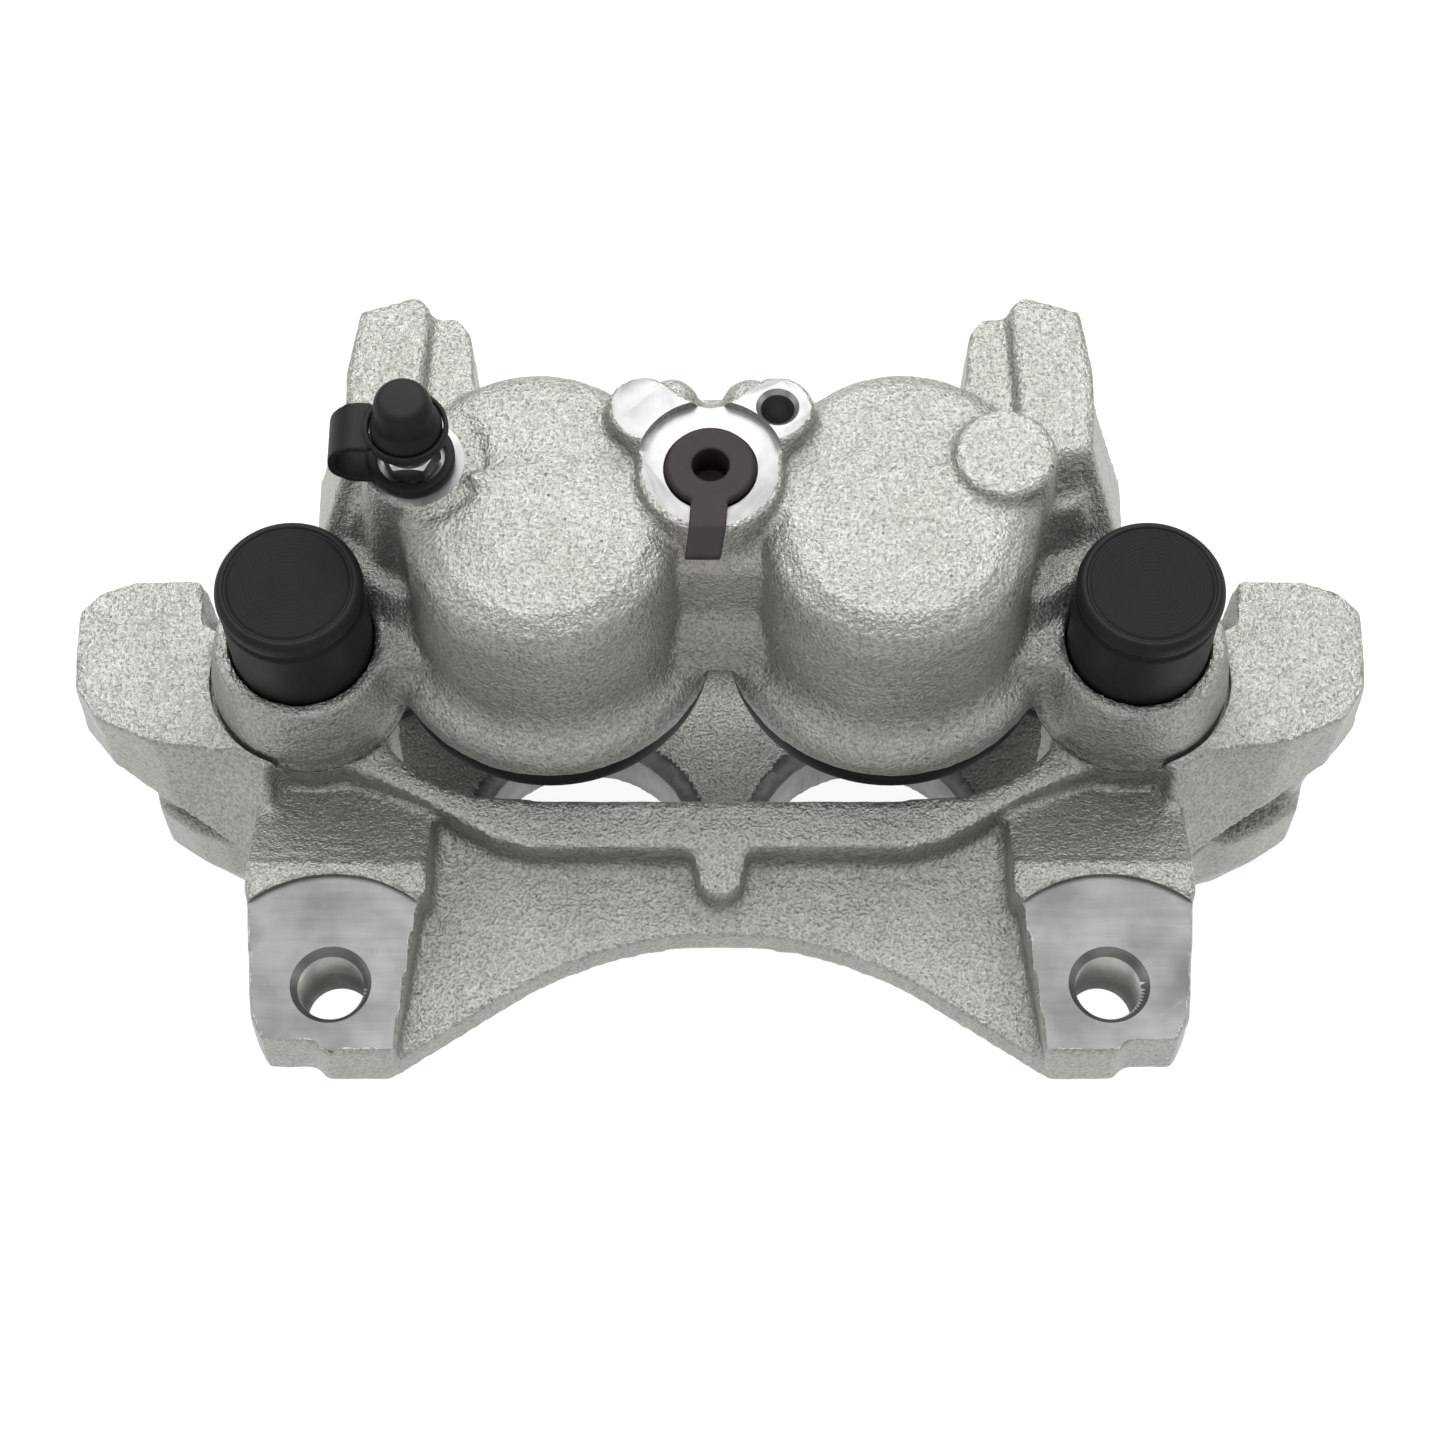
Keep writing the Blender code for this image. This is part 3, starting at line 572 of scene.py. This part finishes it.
def bracket():
    """Carrier casting: holes are filled before the casting skin is made, then machined into it."""
    piece = cad_copy("bracket_casting", "bracket")
    plugs = []
    for side, sign in SIDES:
        plugs.append(turned("plug", [(7.8, -17.9), (7.8, 0.0)], (sign * LUG_X, 0), 24))
        plugs.append(turned("plug", [(7.0, -17.9), (7.0, -2.2)], PIN[side], 24))
        plugs.append(turned("boss_top", [(EAR_R, -6.0), (EAR_R, BAND_Z + 4.0)], PIN[side]))
    unite(piece, plugs)
    cast_skin(piece)
    cutters = []
    for side, sign in SIDES:
        hole = (sign * LUG_X, 0)
        spot = (sign * SPOT_FACE[0], SPOT_FACE[1])
        chamfer = [(5.6, LUG_CHAMFER_LOW_Z), (LUG_CHAMFER_R, LUG_FACE_Z), (LUG_CHAMFER_R + 0.1, 0.5)]
        cutters.append(turned("spot", [(SPOT_FACE_R, LUG_FACE_Z), (SPOT_FACE_R, 8)], spot, 160))
        cutters.append(turned("chamfer", chamfer, hole))
        cutters.append(turned("core", [(THREAD_R, -25), (THREAD_R, 5)], hole))
        cutters.append(turned("bolt_hole", [(BOLT_HOLE_R, -25), (BOLT_HOLE_R, 5)], PIN[side], 48))
        cutters.append(turned("boss_face", [(EAR_R + 0.6, BAND_Z), (EAR_R + 0.6, BAND_Z + 9)], PIN[side]))
        flat = [(sign * 30, PAD_SLIDE_Y), (sign * PAD_SLIDE_X, PAD_SLIDE_Y),
                (sign * PAD_SLIDE_X, 92), (sign * 30, 92)]
        cutters.append(prism("flat", flat, -24, 3))
    cut(piece, cutters)
    cut(piece, [thread_cutter("thread_" + side, (sign * LUG_X, 0), -24, 4) for side, sign in SIDES])
    dress(piece, CAST, LUG_METAL, THREAD_SHADE_METAL, MILLED, THREAD_HIGHLIGHT_METAL)
    centres, normals = face_data(piece)
    height = centres[:, 2]
    paint(piece, LUG_METAL, (normals[:, 2] > LEVEL) & on_plane(height, LUG_FACE_Z))
    paint(piece, MILLED, on_plane(np.abs(centres[:, 0]), PAD_SLIDE_X) & (centres[:, 1] > 54))
    # In each threaded hole, downward-facing flanks get painted shade and upward-facing flanks below the
    # chamfer get a painted highlight.
    for _, sign in SIDES:
        hole = near_axis(centres, (sign * LUG_X, 0), 7.9) & (np.abs(normals[:, 2]) < 0.98)
        facing_up = hole & (normals[:, 2] > UPWARD)
        paint(piece, THREAD_SHADE_METAL, hole & ~facing_up)
        paint(piece, LUG_METAL, facing_up & (height > LUG_CHAMFER_LOW_Z))
        paint(piece, THREAD_HIGHLIGHT_METAL, facing_up & (height <= LUG_CHAMFER_LOW_Z))
    shade(piece)
    place(piece, "bracket", "casting", "bracket")


def ridge(name, start, end, crown_z, width, height):
    """Low rounded rib lying on a dome, from one point (x, y) to another."""
    along = (Vector(end) - Vector(start)).normalized()
    across = Vector((-along.y, along.x)) * width / 2
    outline = [tuple(Vector(point) + side * across) for point, side in
               ((start, -1), (end, -0.4), (end, 0.4), (start, 1))]
    return prism(name, outline, crown_z - 6.0, crown_z + height)


def housing():
    """Twin-cylinder casting with its bridge and fingers, made like the bracket."""
    piece = cad_copy("housing_casting", "housing")
    plugs = [turned("plug", [(9.0, 30), (9.0, PORT_Z)], PORT, 32),
             turned("plug", [(3.4, 39), (3.4, PAD_Z)], PADS[1], 24),
             turned("plug", [(4.8, 34), (4.8, BOSS_Z)], BLEEDER, 24)]
    for pad in PADS:
        plugs.append(prism("pad", hull([(*pad, 6.7), (PORT[0], 84, 5.5)]), 40, PAD_Z))
    plugs.append(ridge("parting_left", (-45.5, 79.5), (-26, 82.5), DOME_Z, 2.8, 0.6))
    plugs.append(ridge("parting_right", (43.0, 80.0), (24, 84.0), DOME_Z, 2.8, 0.6))
    plugs.append(turned("twin_edge", [(9.5, 44.0), (9.35, TWIN_Z - 0.5), (8.9, TWIN_Z)], TWIN))
    for side, _ in SIDES:
        chamber = [(28.0, MOUTH_Z), (28.0, 10), (22.5, 14), (22.5, 39)]
        plugs.append(turned("plug", chamber, PISTON[side], 48))
        plugs.append(turned("ear_foot", [(EAR_R, EAR_FOOT_Z - 4.0), (EAR_R, EAR_FOOT_Z + 1.0)], PIN[side]))
    unite(piece, plugs)
    cast_skin(piece)
    pad_hole = [(PAD_HOLE_R, 40), (PAD_HOLE_R, PAD_Z - 1.1), (PAD_CHAMFER_R, PAD_Z - 0.1),
                (PAD_CHAMFER_R, CLEAR_Z)]
    rotor_r = BRIDGE_R + 0.1
    cutters = [turned("port_face", [(PORT_FACE_R, PORT_Z), (PORT_FACE_R, CLEAR_Z)], PORT),
               prism("port_front", [(-13, 62), (10, 62), (10, 80), (-13, 80)], PORT_Z, CLEAR_Z),
               turned("port_seat", [(4.4, PORT_Z - 3.2), (8.6, PORT_Z - 1.2), (8.6, CLEAR_Z)], PORT),
               turned("port_bore", [(PORT_R, 31), (PORT_R, CLEAR_Z)], PORT),
               turned("pad_hole", pad_hole, PADS[1]),
               prism("pad_tops", [(-26, 84), (24, 84), (24, 101), (-26, 101)], PAD_TOP_Z, CLEAR_Z),
               turned("bleeder_face", [(9.7, BOSS_Z), (9.7, CLEAR_Z)], BLEEDER),
               turned("bleeder_bore", [(4.6, 34.5), (4.6, CLEAR_Z)], BLEEDER, 48),
               turned("rotor_space", [(rotor_r, FINGER_Z), (rotor_r, -30)], (0, WHEEL_Y), 360)]
    bore = [(BORE_R, MOUTH_Z - 5), (BORE_R, 9.9), (SEAL_GROOVE_R, 9.9), (SEAL_GROOVE_R, 13.1),
            (BORE_R, 13.1), (BORE_R, 36.5), (19.0, 39.0)]
    wide_r = RELIEF_R + RELIEF_CHAMFER
    relief = [(RELIEF_R, FINGER_LOW_Z - 5), (RELIEF_R, FINGER_Z - 3.2), (wide_r, FINGER_Z + 0.1),
              (wide_r, FINGER_Z + 4)]
    for side, sign in SIDES:
        cutters.append(turned("bore", bore, PISTON[side]))
        cutters.append(turned("boot_seat", [(BOOT_SEAT_R, -5), (BOOT_SEAT_R, BOOT_SEAT_Z)], PISTON[side]))
        cutters.append(turned("bushing_hole", [(BUSHING_HOLE_R, -10), (BUSHING_HOLE_R, 30)], PIN[side]))
        cutters.append(turned("ear_face", [(EAR_R + 2.0, -10), (EAR_R + 2.0, EAR_FOOT_Z)], PIN[side]))
        cutters.append(turned("relief", relief, relief_centre(sign)))
    cut(piece, cutters)
    dress(piece, CAST, PALE_METAL, MILLED)
    centres, normals = face_data(piece)
    height = centres[:, 2]
    level = normals[:, 2] > LEVEL
    for face_z, reach in ((PORT_Z, 20.0), (PAD_TOP_Z, 25.0), (BOSS_Z, 80.0)):
        paint(piece, PALE_METAL, level & on_plane(height, face_z) & near_axis(centres, PORT, reach))
    paint(piece, PALE_METAL, near_axis(centres, PORT, 9.0) & (height > 30) & (height < PORT_Z))
    paint(piece, PALE_METAL, near_axis(centres, PADS[1], PAD_CHAMFER_R + 0.1) & (height > 40))
    paint(piece, MILLED, level & on_plane(height, FINGER_Z))
    for side, sign in SIDES:
        in_relief = near_axis(centres, relief_centre(sign), wide_r + 0.1) & (height < FINGER_Z + 1)
        in_seat = near_axis(centres, PISTON[side], BOOT_SEAT_R + 0.1) & (height < BOOT_SEAT_Z + 0.1)
        in_bore = near_axis(centres, PISTON[side], SEAL_GROOVE_R + 0.2) & (height < 39.1)
        paint(piece, MILLED, in_relief & ~level)
        paint(piece, MILLED, (in_seat | in_bore) & (height > -1))
    shade(piece)
    place(piece, "housing", "casting", "housing")


# ---------------------------------------------------------------- rubber, plastic and steel pieces

def pin_caps():
    """Lid with a rolled rim, a moulded line and turning rings; the bushing under it."""
    for side, _ in SIDES:
        centre, low_z, high_z = middle("pin_cap_" + side)
        top = high_z - 0.1
        rim = [(12.2, low_z), (13.0, low_z + 0.1), (13.55, low_z + 0.7), (13.68, low_z + 1.6),
               (13.5, low_z + 2.7), (13.0, top - 0.35), (12.5, top), (12.0, top), (11.75, top - 0.35),
               (11.45, top - 0.4), (11.15, top - 0.12), (10.6, top - 0.1)]
        rings = [(10.6 - 0.25 * step, top - 0.1 + 0.012 * math.cos(step * 1.7)) for step in range(1, 42)]
        lid = shade(turned("pin_cap_lid_" + side, rounded(rim, 0.3) + rings, centre))
        top_rubber = turned_rubber(side)
        dress(lid, RUBBER, top_rubber)
        centres, normals = face_data(lid)
        paint(lid, top_rubber, near_axis(centres, centre, 11.2) & (normals[:, 2] > 0.5))
        place(lid, "pin_cap_" + side, "rubber", "pin_cap_" + side)
        _, foot_z, head_z = middle("bushing_" + side)
        wall = [(8.7, foot_z), (13.2, foot_z), (13.4, foot_z + 1.7), (13.4, head_z - 1.6),
                (12.7, head_z - 0.9), (12.7, head_z), (8.7, head_z)]
        bushing = shade(ring_body("bushing_sleeve_" + side, rounded(wall, 0.4, closed=True), centre))
        dress(bushing, RUBBER)
        place(bushing, "housing", "rubber", "bushing_" + side)


def pistons():
    """Cups, open towards the pads, with the groove that holds the dust boot."""
    for side, _ in SIDES:
        centre, low_z, high_z = middle("piston_" + side)
        groove_r = PISTON_R - 1.6
        wall = [(PISTON_R - 0.6, low_z), (PISTON_R - 0.2, low_z + 1.4), (groove_r, low_z + 1.8),
                (groove_r, low_z + 3.4), (PISTON_R, low_z + 3.6), (PISTON_R, high_z - 0.8),
                (PISTON_R - 1.2, high_z)]
        cup = turned("piston_cup_" + side, rounded(wall, 0.3), centre)
        inside = [(15.8, low_z - 3), (15.8, low_z), (15.2, high_z - 9), (12.0, high_z - 6)]
        cut(cup, [turned("hollow", rounded(inside, 1.5), centre)])
        dress(shade(cup), CHROME)
        place(cup, "piston_" + side, "piston_steel", "piston_" + side)


def dust_boots():
    """Bellows between the cylinder's mouth and the groove near the piston's rim."""
    for side, _ in SIDES:
        centre = PISTON[side]
        outline = [(27.3, 4.55), (30.5, 4.55), (30.7, 1.5), (30.6, -0.6), (29.2, -1.35), (28.0, -0.9),
                   (27.2, 1.2), (26.2, 2.6), (25.2, 1.6), (24.3, -1.6), (23.3, -2.9), (20.2, -2.9),
                   (20.2, -1.9), (22.4, -1.9), (23.4, -0.6), (24.0, 2.6), (25.4, 4.0), (27.2, 3.5)]
        boot = ring_body("dust_boot_bellows_" + side, rounded(outline, 0.6, 3, closed=True), centre)
        dress(shade(boot, 50), RUBBER)
        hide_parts("dust_boot_" + side)
        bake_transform(boot)


def bleeder_screw():
    """Seat, thread, hexagon with chamfered corners and the nipple for the bleed hose."""
    centre, low_z, high_z = middle("bleeder_screw")
    pitch = 1.0
    turns = 8
    core_r = 3.6
    crest_r = 4.15
    thread = [(2.2, low_z), (core_r, low_z + 1.6)]
    for turn in range(turns):
        z = low_z + 1.8 + turn * pitch
        thread += [(core_r, z), (crest_r, z + pitch / 2)]
    thread += [(core_r, low_z + 10.4), (core_r, low_z + 11.4)]
    screw = turned("bleeder_screw_body", thread, centre)
    hex_low = low_z + 10.8
    hex_high = low_z + 14.8
    corners = circle(centre, 5.6, hex_low, 6)
    hexagon = prism("hexagon", [(x, y) for x, y, _ in corners], hex_low, hex_high)
    dome = [(5.0, hex_low - 0.3), (5.5, hex_low), (5.5, hex_high - 0.6), (4.7, hex_high + 0.1)]
    trim = turned("trim", dome, centre)
    combine(hexagon, [trim], "INTERSECT")
    nipple = [(3.7, hex_high - 0.5), (3.3, low_z + 18.0), (4.1, low_z + 19.4), (4.1, low_z + 20.0),
              (3.0, high_z)]
    unite(screw, [hexagon, turned("nipple", rounded(nipple, 0.4), centre)])
    cut(screw, [turned("drilling", [(0.9, low_z + 4), (0.9, high_z + 3)], centre, 24)])
    dress(shade(screw, 30), STEEL)
    place(screw, "bleeder_screw", "plated_steel", "bleeder_screw")


def bleeder_cap():
    """Dome with a collar, hollow to fit over the nipple."""
    centre, low_z, high_z = middle("bleeder_cap")
    profile = [(5.0, low_z), (6.2, low_z), (6.55, low_z + 0.8), (6.55, low_z + 2.8), (5.7, low_z + 4.2),
               (5.45, low_z + 5.0), (5.35, high_z - 3.0), (4.9, high_z - 1.0), (3.9, high_z - 0.1),
               (0.4, high_z)]
    cap = turned("bleeder_cap_dome", rounded(profile, 0.8), centre)
    cut(cap, [turned("hollow", [(4.7, low_z - 2), (4.7, low_z + 1.8), (3.6, low_z + 5.4)], centre)])
    dress(shade(cap, 50), RUBBER)
    place(cap, "bleeder_cap", "rubber", "bleeder_cap")


def bleeder_strap():
    """Washer on the boss and a wide band that loops up to the cap."""
    base_z = BOSS_Z + 0.4
    washer = ring_body("bleeder_strap_band", rounded([(6.2, base_z), (8.0, base_z), (8.0, base_z + 2.0),
                                                      (6.2, base_z + 2.0)], 0.4, closed=True), BLEEDER)
    loop = [(6.8, 1.5), (10.6, 1.4), (13.6, 3.2), (14.0, 6.4), (13.0, 9.6), (10.4, 11.9), (6.6, 11.6)]
    path = rounded(loop, 2.4, 5)
    half_thickness = 0.65
    sections = []
    for index, (out, height) in enumerate(path):
        before = Vector(path[max(index - 1, 0)])
        after = Vector(path[min(index + 1, len(path) - 1)])
        along = (after - before).normalized()
        normal = Vector((-along.y, along.x)) * half_thickness
        width = 5.0 - 0.5 * math.sin(math.pi * index / (len(path) - 1))
        corners = ((-1, -width), (-1, width), (1, width), (1, -width))
        sections.append([(BLEEDER[0] - out - face * normal.x, BLEEDER[1] + across,
                          BOSS_Z + height + face * normal.y) for face, across in corners])
    unite(washer, [loft("band", sections)])
    collar = ring_body("collar", [(6.3, BOSS_Z + 10.4), (7.6, BOSS_Z + 10.4), (7.6, BOSS_Z + 12.6),
                                  (6.3, BOSS_Z + 12.6)], BLEEDER)
    unite(washer, [collar])
    cut(washer, [turned("cap_space", [(6.7, BOSS_Z + 4), (6.7, 80)], BLEEDER)])
    soften(washer, 0.28, 3)
    dress(shade(washer, 50), RUBBER)
    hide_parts("bleeder_cap_strap")
    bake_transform(washer)


def port_plug():
    """Shipping plug with its pull tab: the CAD shape with soft edges."""
    piece = cad_copy("port_plug_moulding", "port_plug")
    soften(piece, 0.25, 3)
    dress(shade(piece, 50), PLASTIC)
    place(piece, "port_plug", "plastic", "port_plug")


def hidden_steel():
    """Bolts, sleeves, boot rings and seals keep their CAD shape."""
    for side, _ in SIDES:
        for node, material in (("guide_bolt_", STEEL), ("guide_sleeve_", STEEL), ("boot_ring_", STEEL),
                               ("piston_seal_", RUBBER)):
            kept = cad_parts[node + side]
            kept.data.materials.clear()
            kept.data.materials.append(material)


# ---------------------------------------------------------------- stage, in metres

FLOOR_GAP = 0.002
FLOOR_HALF = 25.0
FLOOR_GLOW = 0.9
WORLD_STRENGTH = 0.48
LAMP_AIM = (0.0, 0.05, 0.0)
LAMPS = (("behind", (0.0, 0.92, 0.95), (1.5, 0.75), 17.2),        # name, place, size, watts
         ("overhead", (0.0, 0.18, 1.25), (1.3, 0.5), 8.0),
         ("front", (0.0, -1.0, 0.75), (1.6, 0.5), 2.0),
         ("left", (-0.95, 0.0, 0.55), (0.6, 0.9), 2.0),
         ("right", (0.95, 0.0, 0.55), (0.6, 0.9), 2.0))
CAMERA_TILT = 63.6                                                # degrees below the horizon
CAMERA_EYE = (0.459 * MM, -209.885 * MM, 530.846 * MM)
CAMERA_LENS_MM = 77.2
CAMERA_SENSOR_MM = 36.0


def stage():
    """Pale floor that glows a little, as a light table does, so that shadows on it stay faint."""
    floor_z = cad_box[0][2] - FLOOR_GAP
    corners = [(-1, -1), (1, -1), (1, 1), (-1, 1)]
    mesh = bpy.data.meshes.new("floor")
    mesh.from_pydata([(x * FLOOR_HALF, y * FLOOR_HALF, floor_z) for x, y in corners], [], [(0, 1, 2, 3)])
    floor = new_object("floor", mesh)
    nodes = Nodes("pale_floor", 0.9, 0.0)
    nodes.link(nodes.ramp(nodes.noise(3.0), [(0.3, (0.20, 0.20, 0.20)), (0.7, (0.22, 0.22, 0.22))]),
               nodes.shader.inputs["Base Color"])
    nodes.shader.inputs["Emission Color"].default_value = (1.0, 1.0, 1.0, 1.0)
    nodes.shader.inputs["Emission Strength"].default_value = FLOOR_GLOW
    mesh.materials.append(nodes.material)


def camera():
    """Looks down steeply, from the side of the mounting lugs."""
    tilt = math.radians(CAMERA_TILT)
    right = Vector((1, 0, 0))
    up = Vector((0, math.sin(tilt), math.cos(tilt)))
    back = right.cross(up)
    data = bpy.data.cameras.new("camera")
    data.sensor_width = CAMERA_SENSOR_MM
    data.lens = CAMERA_LENS_MM
    data.clip_start = 0.01
    view = bpy.data.objects.new("camera", data)
    bpy.context.scene.collection.objects.link(view)
    turn = Matrix((right, up, back)).transposed()
    view.matrix_world = Matrix.Translation(CAMERA_EYE) @ turn.to_4x4()
    bpy.context.scene.camera = view


def light(name, position, size, watts):
    """Rectangular lamp aimed at the middle of the object."""
    data = bpy.data.lights.new(name, "AREA")
    data.shape = "RECTANGLE"
    data.size, data.size_y = size
    data.energy = watts
    lamp = bpy.data.objects.new(name, data)
    bpy.context.scene.collection.objects.link(lamp)
    lamp.location = position
    lamp.rotation_euler = (Vector(LAMP_AIM) - Vector(position)).to_track_quat("-Z", "Y").to_euler()


def lights():
    for lamp in LAMPS:
        light(*lamp)
    world = bpy.data.worlds.new("studio")
    bpy.context.scene.world = world
    world.use_nodes = True
    background = world.node_tree.nodes["Background"]
    background.inputs["Color"].default_value = (1.0, 1.0, 1.0, 1.0)
    background.inputs["Strength"].default_value = WORLD_STRENGTH


bracket()
housing()
pin_caps()
pistons()
dust_boots()
bleeder_screw()
bleeder_cap()
bleeder_strap()
port_plug()
hidden_steel()
stage()
camera()
lights()
bpy.context.scene.view_settings.view_transform = "Standard"
